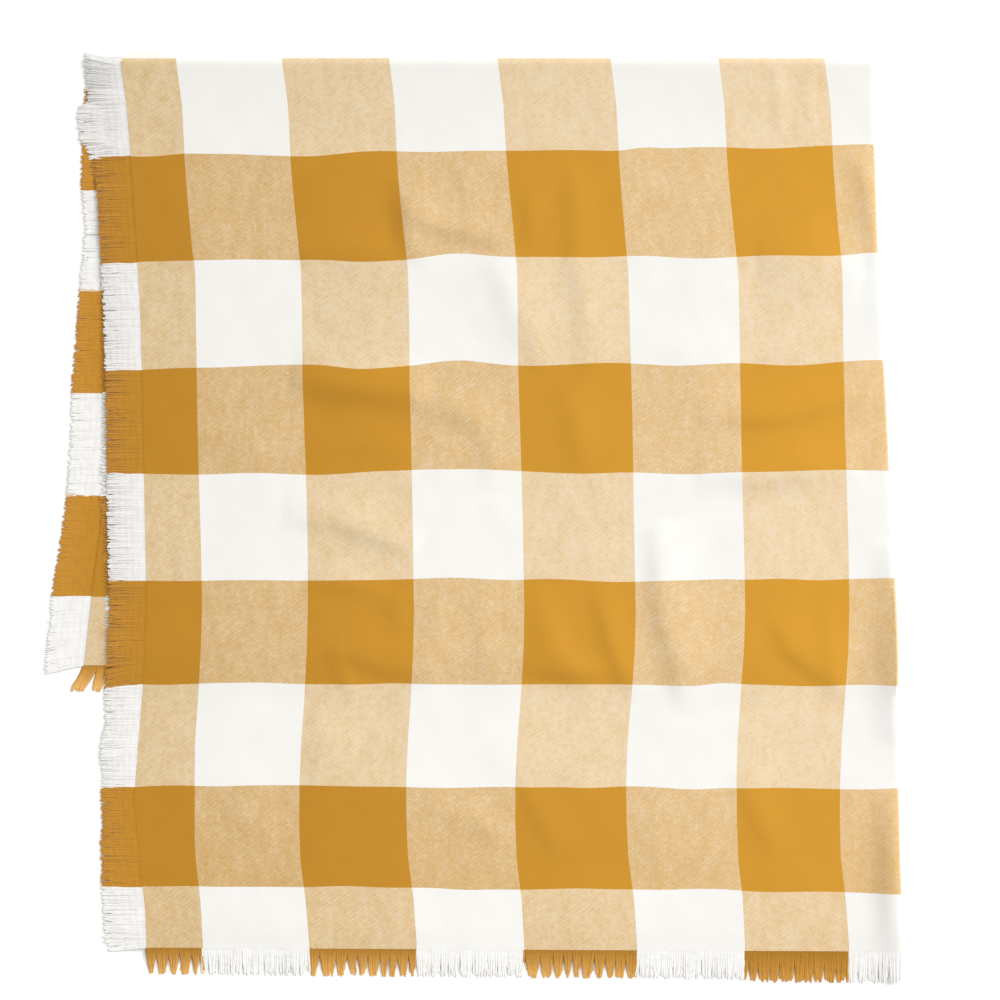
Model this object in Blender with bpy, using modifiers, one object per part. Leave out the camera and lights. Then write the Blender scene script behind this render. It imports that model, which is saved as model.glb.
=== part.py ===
"""Blanket scarf: one woven square, fringed on all four sides, folded in four and lying flat.

Metres, +Z up. The origin is the middle of the part's footprint, on the surface that it lies on. The side fold is at
+X, the top fold at +Y, and the front leaf shows its open edge at -X and its hem at -Y. The square is folded side to
side, and the two leaves are then folded together over the top and under themselves. So four leaves lie on each other
down to the back leaf's hem, and two beyond it.
"""

import math
import random

import bmesh
import bpy
from mathutils import Vector

# The cloth: a thick brushed twill, and the room that two of its leaves leave between them.
CLOTH = 0.0020
GAP = 0.0003
LEAF = CLOTH + GAP

# The folds. The side fold holds two leaves tightly, and the top fold holds all four more loosely.
SIDE_FOLD_RADIUS = CLOTH + GAP / 2
SIDE_FOLD_LIP = 0.012
TOP_FOLD_RADIUS = 0.0060
TOP_Y = 0.4145

# Heights of the front leaf's face over two leaves and over four.
OVER_TWO = CLOTH + LEAF
OVER_FOUR = CLOTH + 3 * LEAF

# Distances below the top fold: the hems, the slope down off the back leaf's hem, and the foot of the top fold's swell.
FRONT_HEM = 0.8015
SECOND_HEM = 0.7880
THIRD_HEM = 0.5400
BACK_HEM = 0.5470
SLOPE_FOOT = 0.6200
SLOPE_HEAD = 0.5500
SWELL_FOOT = 0.0450
HEM_TILT = 0.0045

# Sections across the two outer leaves, from the top fold down to the hem: where their two edges lie.
FRONT_SECTIONS = (
    # below, left_x, right_x
    (0.000, -0.3170, 0.3600),
    (0.042, -0.3110, 0.3605),
    (0.096, -0.3070, 0.3620),
    (0.155, -0.3030, 0.3640),
    (0.227, -0.2990, 0.3670),
    (0.308, -0.2965, 0.3720),
    (0.398, -0.2950, 0.3760),
    (0.488, -0.2930, 0.3810),
    (0.542, -0.2950, 0.3830),
    (0.614, -0.3010, 0.3830),
    (0.668, -0.3050, 0.3840),
    (0.722, -0.3000, 0.3850),
    (0.767, -0.2950, 0.3870),
    (0.802, -0.2940, 0.3880),
)
BACK_SECTIONS = (
    # below, left_x, right_x
    (0.000, -0.3170, 0.3600),
    (0.155, -0.3160, 0.3610),
    (0.227, -0.3230, 0.3540),
    (0.326, -0.3270, 0.3490),
    (0.398, -0.3325, 0.3440),
    (0.479, -0.3430, 0.3340),
    (0.547, -0.3505, 0.3260),
)
# How far the hidden leaves' open edges lie to the right of the outer ones'.
HIDDEN_EDGES = (
    # below, second_leaf, third_leaf
    (0.000, -0.0070, -0.0070),
    (0.083, -0.0070, 0.0080),
    (0.120, 0.0000, 0.0140),
    (0.400, 0.0080, 0.0300),
    (0.540, 0.0130, 0.0560),
    (0.704, 0.0180, 0.0560),
    (0.802, 0.0170, 0.0560),
)

# The largest folds that the front leaf was left with: soft ridges, each between two points.
RIDGES = (
    # x1, below1, x2, below2, half_width, height
    (-0.155, 0.280, -0.047, 0.305, 0.017, 0.0042),
    (-0.047, 0.305, 0.018, 0.357, 0.018, 0.0036),
    (-0.100, 0.118, -0.062, 0.142, 0.020, 0.0030),
    (-0.045, 0.135, 0.010, 0.158, 0.020, 0.0034),
    (0.022, 0.180, 0.048, 0.255, 0.018, 0.0024),
    (0.240, 0.318, 0.345, 0.302, 0.018, 0.0030),
    (0.170, 0.430, 0.188, 0.560, 0.019, 0.0034),
    (-0.140, 0.530, -0.050, 0.552, 0.018, 0.0024),
    (-0.235, 0.404, -0.080, 0.432, 0.020, 0.0022),
    (0.275, 0.532, 0.335, 0.556, 0.018, 0.0026),
    (0.060, 0.655, 0.075, 0.715, 0.020, 0.0020),
    (0.205, 0.020, 0.222, 0.075, 0.019, 0.0024),
)

# Panels of the leaves along their length: below the slope, on it, above it, on the swell, round the top fold, down the
# back leaf. Then panels across their width, and round the side fold.
OUTER_PANELS = (8, 4, 26, 4, 8, 8)
HIDDEN_PANELS = (3, 3, 6, 3, 6, 5)
OUTER_PANELS_ACROSS = 36
HIDDEN_PANELS_ACROSS = 12
SIDE_FOLD_PANELS = 6

# The hidden leaves lie apart this far in from their edges, and are joined further in.
APART = 0.045

# The fringe: locks of yarn, fused at their roots into a narrow strip along the cloth's edge.
SIDE_FRINGE = 0.0385
HEM_FRINGE = 0.0235
STRIP_WIDTH = 0.0022
LOCK_THICKNESS = 0.0012
LOCK_WIDTH = 0.0080
LOCK_TIP_SHARE = 0.45
LOCK_LEAN = 0.11
LOCK_DROOP = 0.0002
LOCK_SHORTEST = 0.84

# At some corners the locks fan out: how far the last one leans along its edge, and how far in from the corner the fan
# begins.
HEM_CORNER_FAN = 0.0220
TOP_CORNER_FAN = 0.0110
FAN_WIDTH = 0.0500

MUSTARD = (0.56, 0.25, 0.035)
TAN = (0.72, 0.52, 0.30)
IVORY = (0.90, 0.87, 0.82)


def table_value(table, below, column):
    """The value of one column at a distance below the top fold, on straight lines between the rows."""
    for upper, lower in zip(table, table[1:]):
        if below <= lower[0]:
            share = (below - upper[0]) / (lower[0] - upper[0])
            return upper[column] + (lower[column] - upper[column]) * max(share, 0.0)
    return table[-1][column]


def eased(share):
    """0 to 1 with a soft start and a soft end."""
    share = min(max(share, 0.0), 1.0)
    return share * share * (3.0 - 2.0 * share)


def spread(first, last, count):
    """Evenly spaced values from the first to just before the last."""
    return [first + (last - first) * i / count for i in range(count)]


def face_height(below):
    """Height of the front leaf's face: low at the hem, up over the back leaf, and swelling to the top fold."""
    climb = eased((SLOPE_FOOT - below) / (SLOPE_FOOT - SLOPE_HEAD))
    swell = eased((SWELL_FOOT - below) / (SWELL_FOOT - TOP_FOLD_RADIUS))
    return OVER_TWO + (OVER_FOUR - OVER_TWO) * climb + (2 * TOP_FOLD_RADIUS - OVER_FOUR) * swell


def ridge_height(x, below):
    """How far the folds left in the front leaf lift it here."""
    lift = 0.0
    for x1, below1, x2, below2, half_width, height in RIDGES:
        along = Vector((x2 - x1, below2 - below1))
        from_start = Vector((x - x1, below - below1))
        share = min(max(from_start.dot(along) / along.length_squared, 0.0), 1.0)
        away = (from_start - along * share).length
        lift = max(lift, height * math.exp(-((away / half_width) ** 2)))
    return lift


def turn_rows(front_hem, back_hem, panels):
    """Rows of a leaf pair: up the front leaf, round the top fold and down the back leaf.

    A row is (leaf, below, angle), where the angle is that of the top fold, 90 degrees on the front leaf's side.
    """
    lower, slope, upper, swell, fold, back = panels
    front = spread(front_hem, SLOPE_FOOT, lower) + spread(SLOPE_FOOT, SLOPE_HEAD, slope)
    front += spread(SLOPE_HEAD, SWELL_FOOT, upper) + spread(SWELL_FOOT, TOP_FOLD_RADIUS, swell)
    rows = [("front", below, 90.0) for below in front]
    rows += [("fold", TOP_FOLD_RADIUS, angle) for angle in spread(90.0, -90.0, fold)]
    rows += [("back", below, -90.0) for below in spread(TOP_FOLD_RADIUS, back_hem, back)]
    return rows + [("back", back_hem, -90.0)]


OUTER_ROWS = turn_rows(FRONT_HEM, BACK_HEM, OUTER_PANELS)
HIDDEN_ROWS = turn_rows(SECOND_HEM, THIRD_HEM, HIDDEN_PANELS)


def turn_point(row, depth):
    """Distance below the top fold, and height, of a point this deep inside the outer leaves' face."""
    leaf, below, angle = row
    if leaf == "front":
        return below, face_height(below) - depth
    if leaf == "back":
        return below, depth
    reach = TOP_FOLD_RADIUS - depth
    turned = math.radians(angle)
    return TOP_FOLD_RADIUS - reach * math.cos(turned), TOP_FOLD_RADIUS + reach * math.sin(turned)


def outer_span(leaf, below):
    """Where the open edge and the side fold's centre lie on an outer leaf, this far below the top fold."""
    sections = BACK_SECTIONS if leaf == "back" else FRONT_SECTIONS
    return table_value(sections, below, 1), table_value(sections, below, 2) - SIDE_FOLD_RADIUS


def hidden_span(leaf, below):
    """Where the hidden leaf next to this outer leaf begins, and where it ends, just clear of the side fold's lip."""
    left, fold = outer_span(leaf, below)
    column = 2 if leaf == "back" else 1
    return left + table_value(HIDDEN_EDGES, below, column), fold - SIDE_FOLD_LIP - GAP


def tilted(below, across):
    """The hems run a little lower towards the side fold."""
    return below * (1.0 + HEM_TILT * across)


def outer_point(column, row):
    """A point of the outer leaves' face. A column is (share of the width, angle of the side fold, share of its lip)."""
    across, side_angle, lip = column
    leaf, below, _ = row
    left, fold = outer_span(leaf, below)
    turned = math.radians(side_angle)
    depth = SIDE_FOLD_RADIUS * (1.0 - math.cos(turned))
    x = left + (fold - left) * across
    x += SIDE_FOLD_RADIUS * math.sin(turned) - SIDE_FOLD_LIP * lip
    down, height = turn_point(row, depth)
    if leaf == "front":
        height += ridge_height(x, below) * (1.0 - side_angle / 180.0)
    return Vector((x, TOP_Y - tilted(down, across), height))


def hidden_point(across, row):
    """A point of the hidden leaves' face, one leaf inside the outer ones and clear of the side fold's lip."""
    leaf, below, _ = row
    left, right = hidden_span(leaf, below)
    down, height = turn_point(row, LEAF)
    return Vector((left + (right - left) * across, TOP_Y - tilted(down, across), height))


def sheet(columns, rows, place, is_cut=None):
    """A bmesh of an open sheet, with one point for each column and row, less the panels that are cut away."""
    surface = bmesh.new()
    across = len(columns) - 1
    along = len(rows) - 1
    bmesh.ops.create_grid(surface, x_segments=across, y_segments=along, size=0.5)
    if is_cut:
        panels = [(face, face.calc_center_median()) for face in surface.faces]
        cut = [face for face, at in panels if is_cut(int((at.x + 0.5) * across), int((at.y + 0.5) * along))]
        bmesh.ops.delete(surface, geom=cut, context="FACES")
    for point in surface.verts:
        column = columns[round((point.co.x + 0.5) * across)]
        row = rows[round((point.co.y + 0.5) * along)]
        point.co = place(column, row)
    return surface


def finish(name, surface, thickness, colour, collection, offset=-1.0):
    """The named object of an open surface, with its wall and its material."""
    mesh = bpy.data.meshes.new(name)
    surface.to_mesh(mesh)
    surface.free()
    mesh.shade_smooth()
    mesh.materials.append(cloth_material(name, colour))
    piece = bpy.data.objects.new(name, mesh)
    collection.objects.link(piece)
    wall = piece.modifiers.new("wall", "SOLIDIFY")
    wall.thickness = thickness
    wall.offset = offset
    wall.use_even_offset = True
    return piece


def cloth_material(name, colour):
    """Brushed yarn: rough, with no metal in it."""
    material = bpy.data.materials.new(name)
    material.use_nodes = True
    shader = material.node_tree.nodes["Principled BSDF"]
    shader.inputs["Base Color"].default_value = (*colour, 1.0)
    shader.inputs["Roughness"].default_value = 0.9
    shader.inputs["Metallic"].default_value = 0.0
    return material


def outer_leaves(collection):
    """The front leaf, the top fold and the back leaf in one stretch, with the side fold turned under."""
    columns = [(across, 0.0, 0.0) for across in spread(0.0, 1.0, OUTER_PANELS_ACROSS)]
    columns += [(1.0, angle, 0.0) for angle in spread(0.0, 180.0, SIDE_FOLD_PANELS)]
    columns += [(1.0, 180.0, lip) for lip in (0.0, 0.5, 1.0)]
    finish("outer_leaves", sheet(columns, OUTER_ROWS, outer_point), CLOTH, MUSTARD, collection)


def hidden_leaves(collection, joiners):
    """The second and third leaves in one rounded solid: apart at their edges, joined in their middle."""
    columns = spread(0.0, 1.0, HIDDEN_PANELS_ACROSS) + [1.0]
    leaves = finish("hidden_leaves", sheet(columns, HIDDEN_ROWS, hidden_point), CLOTH, TAN, collection)

    left = max(section[1] for section in FRONT_SECTIONS) + APART
    right = min(section[2] for section in BACK_SECTIONS) - APART
    top = TOP_Y - SWELL_FOOT
    bottom = TOP_Y - THIRD_HEM + APART
    bpy.ops.mesh.primitive_cube_add(size=1.0)
    core = bpy.context.object
    core.name = "hidden_leaves_core"
    core.scale = (right - left, top - bottom, CLOTH / 2 + GAP)
    core.location = ((left + right) / 2, (top + bottom) / 2, 2 * LEAF - GAP / 2)
    core.hide_render = True
    core.display_type = "WIRE"
    for owner in core.users_collection:
        owner.objects.unlink(core)
    joiners.objects.link(core)
    join = leaves.modifiers.new("core", "BOOLEAN")
    join.operation = "UNION"
    join.object = core


def on_line(points, share):
    """The point at this share of the length of a line through these points."""
    steps = [(after - before).length for before, after in zip(points, points[1:])]
    left = share * sum(steps)
    for before, after, step in zip(points, points[1:], steps):
        if left <= step:
            return before.lerp(after, left / step)
        left -= step
    return points[-1].copy()


def fringe(name, collection, count, edge, outward, length, colour, seed, fans):
    """A comb of locks along an edge: a narrow strip, and beyond it a lock for every other panel of its length."""
    draw = random.Random(seed)
    along = Vector((-outward.y, outward.x, 0.0))
    edge_length = (edge[-1] - edge[0]).length
    half_lock = LOCK_WIDTH / edge_length / 2
    columns = [(0.0, None)]
    for number in range(count):
        share = (number + 0.5) / count
        reach = length * draw.uniform(LOCK_SHORTEST, 1.0)
        lean = reach * draw.uniform(-LOCK_LEAN, LOCK_LEAN)
        lean += fans[0] * max(1.0 - share * edge_length / FAN_WIDTH, 0.0)
        lean -= fans[1] * max(1.0 - (1.0 - share) * edge_length / FAN_WIDTH, 0.0)
        swing = outward * (reach - STRIP_WIDTH) + along * lean
        lock = (on_line(edge, share), swing - Vector((0.0, 0.0, LOCK_DROOP)))
        columns += [(share + side, lock) for side in (-half_lock, half_lock)]
    columns.append((1.0, None))

    def comb_point(column, row):
        share, lock = column
        root = on_line(edge, share)
        if row == "tips":
            middle, swing = lock
            root = middle + (root - middle) * LOCK_TIP_SHARE + swing
        return root + outward * (GAP + (0.0 if row == "roots" else STRIP_WIDTH))

    def between_locks(panel, band):
        return band == 1 and panel % 2 == 0

    comb = sheet(columns, ("roots", "strip", "tips"), comb_point, between_locks)
    finish(name, comb, LOCK_THICKNESS, colour, collection, offset=0.0)


def side_line(rows, leaf, depth, span):
    """The line of a leaf's open side edge, level with the middle of its wall, from its hem to the top fold."""
    line = [row for row in rows if row[0] == leaf and row[1] > TOP_FOLD_RADIUS]
    line.sort(key=lambda row: -row[1])
    line.append((leaf, TOP_FOLD_RADIUS, 0.0))
    return [Vector((span(leaf, row[1])[0], TOP_Y - row[1], turn_point(row, depth)[1])) for row in line]


def hem_line(leaf, hem, depth, span):
    """The line of a leaf's hem, level with the middle of its wall."""
    left, right = span(leaf, hem)
    height = turn_point((leaf, hem, 0.0), depth)[1]
    return [Vector((left, TOP_Y - hem, height)), Vector((right, TOP_Y - tilted(hem, 1.0), height))]


def fringes(collection):
    """The fringe of each edge that ends in the open, level with the middle of its leaf."""
    outer = (CLOTH / 2, outer_span)
    hidden = (LEAF + CLOTH / 2, hidden_span)
    sides = (
        # name, rows, leaf, place, locks, colour, fans at the hem and at the top fold
        ("front_side_fringe", OUTER_ROWS, "front", outer, 56, IVORY, (0.0, TOP_CORNER_FAN)),
        ("second_side_fringe", HIDDEN_ROWS, "front", hidden, 40, MUSTARD, (0.0, TOP_CORNER_FAN)),
        ("third_side_fringe", HIDDEN_ROWS, "back", hidden, 28, MUSTARD, (0.0, 0.0)),
        ("back_side_fringe", OUTER_ROWS, "back", outer, 34, IVORY, (HEM_CORNER_FAN, 0.0)),
    )
    hems = (
        # name, leaf, hem, place, locks, colour
        ("front_hem_fringe", "front", FRONT_HEM, outer, 44, MUSTARD),
        ("second_hem_fringe", "front", SECOND_HEM, hidden, 26, MUSTARD),
        ("back_hem_fringe", "back", BACK_HEM, outer, 22, TAN),
    )
    left = Vector((-1.0, 0.0, 0.0))
    down = Vector((0.0, -1.0, 0.0))
    for seed, (name, rows, leaf, place, locks, colour, fans) in enumerate(sides):
        line = side_line(rows, leaf, *place)
        fringe(name, collection, locks, line, left, SIDE_FRINGE, colour, seed, fans)
    for seed, (name, leaf, hem, place, locks, colour) in enumerate(hems, len(sides)):
        line = hem_line(leaf, hem, *place)
        fringe(name, collection, locks, line, down, HEM_FRINGE, colour, seed, (0.0, 0.0))


def new_collection(name):
    collection = bpy.data.collections.new(name)
    bpy.context.scene.collection.children.link(collection)
    return collection


def main():
    for leftover in list(bpy.data.objects):
        bpy.data.objects.remove(leftover, do_unlink=True)
    scarf = new_collection("blanket_scarf")
    joiners = new_collection("joiners")
    outer_leaves(scarf)
    hidden_leaves(scarf, joiners)
    fringes(scarf)


main()
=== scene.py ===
"""A blanket scarf: one woven square with a self fringe, folded in four and laid flat. Metres, +Z up."""

import bpy
import numpy as np
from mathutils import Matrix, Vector


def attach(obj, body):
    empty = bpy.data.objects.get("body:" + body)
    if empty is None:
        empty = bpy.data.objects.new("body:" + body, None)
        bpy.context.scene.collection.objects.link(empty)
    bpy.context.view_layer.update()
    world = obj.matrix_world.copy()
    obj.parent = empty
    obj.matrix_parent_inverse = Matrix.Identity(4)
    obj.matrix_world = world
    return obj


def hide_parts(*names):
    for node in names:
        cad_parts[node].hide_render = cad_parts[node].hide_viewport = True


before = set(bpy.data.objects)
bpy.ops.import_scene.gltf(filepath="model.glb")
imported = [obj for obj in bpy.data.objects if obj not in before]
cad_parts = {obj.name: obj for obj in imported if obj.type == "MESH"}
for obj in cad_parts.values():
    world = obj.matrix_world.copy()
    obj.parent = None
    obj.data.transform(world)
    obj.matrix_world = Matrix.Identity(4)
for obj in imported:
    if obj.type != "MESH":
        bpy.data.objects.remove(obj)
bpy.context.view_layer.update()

# ------------------------------------------------------------------------------------------------------------
# The outer leaves: the front leaf, the top fold and the back leaf, one stretch of a thick twill woven from
# spun acrylic yarn and brushed. The whole square was folded side to side, so its right edge is a fold whose
# lip is turned under, and the two leaves together were then folded over the top and under themselves.

CLOTH = 0.0020
GAP = 0.0003
LEAF = CLOTH + GAP
SIDE_FOLD_RADIUS = CLOTH + GAP / 2
SIDE_FOLD_LIP = 0.012
TOP_FOLD_RADIUS = 0.0064
TOP_Y = 0.4145
OVER_TWO = CLOTH + LEAF
OVER_FOUR = CLOTH + 3 * LEAF
FRONT_HEM = 0.8015
BACK_HEM = 0.5470
SLOPE_FOOT = 0.5850
SLOPE_HEAD = 0.5250
SWELL_FOOT = 0.0750
HEM_TILT = 0.0045
HEM_DROOP = 0.0010
HEM_DROOP_REACH = 0.0180

# The wall that shows is a little thinner than the solid's, so that the leaves part at their edges.
OUTER_WALL = 0.0016
# Turns sharper than this are drawn as edges, as at the cut of the wall.
SHARP_TURN = 50.0

FRONT_SECTIONS = (
    # below, left_x, right_x
    (0.000, -0.3170, 0.3600),
    (0.042, -0.3110, 0.3605),
    (0.096, -0.3070, 0.3620),
    (0.155, -0.3030, 0.3640),
    (0.227, -0.2990, 0.3670),
    (0.308, -0.2965, 0.3720),
    (0.398, -0.2950, 0.3760),
    (0.488, -0.2930, 0.3810),
    (0.542, -0.2950, 0.3830),
    (0.614, -0.3010, 0.3830),
    (0.668, -0.3050, 0.3840),
    (0.722, -0.3000, 0.3850),
    (0.767, -0.2950, 0.3870),
    (0.802, -0.2940, 0.3880),
)
BACK_SECTIONS = (
    # below, left_x, right_x
    (0.000, -0.3170, 0.3600),
    (0.155, -0.3160, 0.3610),
    (0.227, -0.3230, 0.3540),
    (0.326, -0.3270, 0.3490),
    (0.398, -0.3325, 0.3440),
    (0.479, -0.3430, 0.3340),
    (0.547, -0.3505, 0.3260),
)

# Folds and soft creases that lying in a pile left in the front leaf. Each crest runs to the right or
# downwards and out at both ends, with a broad flank on its upper or right side and a steeper one opposite.
CREST_RUN_OUT = 0.6
CREASES = (
    # height, broad, steep, crest as (x, below)
    (0.0066, 0.0240, 0.0150, ((-0.163, 0.288), (-0.133, 0.292), (-0.083, 0.297), (-0.038, 0.302))),
    (0.0028, 0.0180, 0.0120, ((-0.062, 0.306), (-0.029, 0.311), (-0.006, 0.320),
                              (0.009, 0.337), (0.019, 0.371), (0.022, 0.389))),
    (0.0016, 0.0200, 0.0120, ((-0.164, 0.349), (-0.115, 0.345), (-0.054, 0.350))),
    (0.0042, 0.0200, 0.0120, ((-0.063, 0.103), (-0.059, 0.132), (-0.054, 0.185))),
    (0.0036, 0.0200, 0.0080, ((-0.062, 0.135), (-0.029, 0.153), (0.014, 0.160), (0.037, 0.164))),
    (0.0014, 0.0140, 0.0090, ((-0.008, 0.090), (-0.000, 0.140))),
    (0.0028, 0.0150, 0.0180, ((-0.157, 0.176), (-0.119, 0.172), (-0.090, 0.171), (-0.065, 0.184))),
    (0.0028, 0.0220, 0.0160, ((0.019, 0.175), (0.036, 0.218), (0.048, 0.254), (0.052, 0.275))),
    (0.0021, 0.0180, 0.0100, ((0.090, 0.097), (0.093, 0.173), (0.100, 0.222), (0.109, 0.286))),
    (0.0013, 0.0100, 0.0080, ((0.052, 0.121), (0.054, 0.171))),
    (0.0013, 0.0100, 0.0080, ((0.055, 0.234), (0.059, 0.279))),
    (0.0040, 0.0220, 0.0100, ((0.199, 0.320), (0.243, 0.322), (0.272, 0.321),
                              (0.300, 0.316), (0.329, 0.306), (0.367, 0.297))),
    (0.0046, 0.0280, 0.0140, ((0.201, 0.373), (0.259, 0.373), (0.322, 0.367), (0.351, 0.364))),
    (0.0036, 0.0260, 0.0300, ((0.257, 0.187), (0.306, 0.182), (0.351, 0.187))),
    (0.0044, 0.0200, 0.0100, ((-0.170, 0.412), (-0.151, 0.414), (-0.126, 0.415),
                              (-0.104, 0.421), (-0.079, 0.431), (-0.047, 0.443))),
    (0.0022, 0.0160, 0.0100, ((-0.148, 0.470), (-0.115, 0.472), (-0.076, 0.479))),
    (0.0030, 0.0220, 0.0100, ((-0.125, 0.527), (-0.108, 0.535), (-0.081, 0.545), (-0.029, 0.551))),
    (0.0012, 0.0060, 0.0080, ((-0.128, 0.524), (-0.118, 0.549), (-0.110, 0.569), (-0.105, 0.594))),
    (0.0016, 0.0120, 0.0100, ((-0.072, 0.477), (-0.063, 0.515))),
    (0.0046, 0.0260, 0.0110, ((0.166, 0.416), (0.170, 0.470), (0.173, 0.506),
                              (0.183, 0.533), (0.190, 0.569), (0.196, 0.589))),
    (0.0029, 0.0150, 0.0090, ((0.111, 0.473), (0.118, 0.499), (0.126, 0.528),
                              (0.138, 0.555), (0.149, 0.578))),
    (0.0026, 0.0140, 0.0180, ((0.057, 0.473), (0.066, 0.508), (0.077, 0.535),
                              (0.095, 0.553), (0.118, 0.569))),
    (0.0024, 0.0160, 0.0080, ((0.044, 0.547), (0.086, 0.551), (0.142, 0.549))),
    (0.0028, 0.0220, 0.0090, ((0.270, 0.499), (0.288, 0.530), (0.307, 0.547), (0.336, 0.565))),
    (0.0012, 0.0100, 0.0080, ((0.318, 0.488), (0.324, 0.542), (0.329, 0.578))),
    (0.0019, 0.0200, 0.0080, ((0.042, 0.632), (0.054, 0.668), (0.066, 0.691), (0.081, 0.718))),
    (0.0019, 0.0200, 0.0080, ((0.241, 0.632), (0.252, 0.668), (0.262, 0.691), (0.276, 0.720))),
    (0.0018, 0.0120, 0.0090, ((-0.044, 0.679), (-0.002, 0.681), (0.032, 0.706))),
    (0.0010, 0.0060, 0.0050, ((0.272, 0.004), (0.277, 0.074))),
    (0.0009, 0.0060, 0.0050, ((0.299, 0.004), (0.302, 0.067))),
    (0.0026, 0.0100, 0.0100, ((0.345, 0.080), (0.356, 0.119), (0.363, 0.187))),
    (0.0074, 0.0240, 0.0180, ((0.382, 0.430), (0.384, 0.490), (0.384, 0.550), (0.383, 0.614))),
    (0.0066, 0.0300, 0.0130, ((0.378, 0.652), (0.378, 0.700), (0.379, 0.750), (0.382, 0.810))),
    (0.0014, 0.0160, 0.0120, ((0.085, 0.285), (0.095, 0.330), (0.098, 0.375))),
    (0.0012, 0.0220, 0.0160, ((0.151, 0.245), (0.205, 0.272), (0.237, 0.277))),
    (0.0013, 0.0200, 0.0140, ((-0.245, 0.344), (-0.191, 0.355), (-0.155, 0.353))),
    (0.0014, 0.0160, 0.0120, ((-0.038, 0.479), (-0.033, 0.542))),
    (0.0013, 0.0140, 0.0100, ((0.007, 0.479), (0.016, 0.560))),
    (0.0013, 0.0180, 0.0120, ((-0.137, 0.578), (-0.134, 0.659))),
    (0.0012, 0.0200, 0.0140, ((-0.218, 0.668), (-0.182, 0.713))),
    (0.0012, 0.0200, 0.0140, ((0.160, 0.668), (0.172, 0.740))),
)

# Between the creases the front leaf lies uneven too: height and size of its swells and of its ripples.
SWELLS, SWELL_SIZE = 0.00045, 0.11
RIPPLES, RIPPLE_SIZE = 0.0002, 0.035
# That starts this far below the top fold, over this length.
UNEVEN_FROM, UNEVEN_OVER = 0.02, 0.05

# The check: borders of the coloured and plain columns where the cloth lies straightest, how far they sway on
# the way down, and borders of the rows at the left and at the right. Columns start with a coloured one, rows
# with a plain one.
COLUMN_BORDERS = (-0.2993, -0.2494, -0.1533, -0.0577, 0.0411, 0.1414, 0.2398, 0.3336, 0.4260)
COLUMN_SWAY = (
    # below, shift
    (0.000, -0.0180),
    (0.042, -0.0126),
    (0.096, -0.0099),
    (0.128, -0.0072),
    (0.164, -0.0036),
    (0.191, -0.0009),
    (0.227, 0.0000),
    (0.290, 0.0009),
    (0.362, 0.0027),
    (0.434, 0.0045),
    (0.497, 0.0054),
    (0.533, 0.0045),
    (0.578, 0.0018),
    (0.614, -0.0009),
    (0.650, -0.0023),
    (0.686, -0.0023),
    (0.722, -0.0009),
    (0.758, 0.0036),
    (0.798, 0.0063),
)
# Columns waver by this much besides, in waves of this size.
COLUMN_WAVER, COLUMN_WAVER_SIZE = 0.0009, 0.16
ROW_BORDERS = (
    # row, below_at_left, below_at_right
    (0.24, 0.0000, 0.0000),
    (1.00, 0.0891, 0.0792),
    (2.00, 0.1836, 0.1764),
    (3.00, 0.2799, 0.2727),
    (4.00, 0.3744, 0.3708),
    (5.00, 0.4707, 0.4680),
    (6.00, 0.5634, 0.5652),
    (7.00, 0.6561, 0.6579),
    (8.00, 0.7452, 0.7515),
    (9.00, 0.8370, 0.8440),
)
ROW_BORDERS_LEFT_X = -0.2768
ROW_BORDERS_RIGHT_X = 0.3578
ROW_PITCH = 0.0938
# Rows waver too, by this share of a row.
ROW_WAVER, ROW_WAVER_SIZE = 0.016, 0.13
# Where creases take up cloth, the rows bow: how far down, where, and how far along and across the rows.
ROW_BOWS = (
    # down, x, row, reach_along, rows_across
    (-0.0041, -0.009, 3.3, 0.032, 1.5),
    (0.0020, -0.104, 2.7, 0.023, 0.9),
    (-0.0031, -0.200, 2.6, 0.036, 0.8),
    (-0.0032, -0.261, 1.0, 0.027, 0.5),
    (0.0012, -0.196, 1.0, 0.023, 0.4),
    (-0.0027, 0.155, 1.0, 0.018, 0.4),
    (-0.0015, 0.354, 1.6, 0.018, 0.9),
    (-0.0027, -0.016, 2.0, 0.030, 0.5),
    (0.0016, 0.189, 2.0, 0.032, 0.5),
    (0.0031, 0.283, 2.5, 0.041, 0.9),
    (0.0041, 0.196, 4.2, 0.045, 0.9),
    (0.0018, 0.106, 4.4, 0.032, 0.8),
    (-0.0024, -0.042, 4.1, 0.024, 0.4),
    (0.0022, 0.308, 5.0, 0.027, 0.5),
    (-0.0020, 0.225, 6.0, 0.016, 1.3),
    (-0.0015, -0.187, 6.0, 0.027, 0.4),
    (-0.0020, -0.072, 6.0, 0.027, 0.5),
    (-0.0021, -0.203, 7.0, 0.032, 0.4),
    (-0.0020, 0.079, 7.0, 0.025, 0.4),
    (0.0017, -0.287, 8.0, 0.025, 0.4),
    (-0.0017, -0.117, 8.0, 0.027, 0.4),
    (0.0020, -0.007, 8.0, 0.025, 0.4),
    (-0.0014, 0.151, 8.0, 0.025, 0.4),
)
# The row at the back of the top fold, and how much of a row the cloth takes to come round it.
ROW_BEHIND_FOLD = 0.12
ROW_ROUND_FOLD = 0.17
BACK_ROW_BORDERS = (
    # row, below
    (ROW_BEHIND_FOLD, 0.0060),
    (0.00, 0.0270),
    (-1.00, 0.1188),
    (-2.00, 0.2088),
    (-3.00, 0.3006),
    (-4.00, 0.3933),
    (-5.00, 0.4851),
    (-6.00, 0.5770),
)

FRONT, FOLD, BACK = 1, 0, -1
# Facets of the sheet: up the front leaf's lower part, slope, upper part and swell, round the fold and down.
OUTER_PANELS = (42, 18, 118, 22, 14, 40)
OUTER_PANELS_ACROSS = 160
SIDE_FOLD_PANELS = 10
LIP_SHARES = (0.0, 0.33, 0.67, 1.0)


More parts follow.
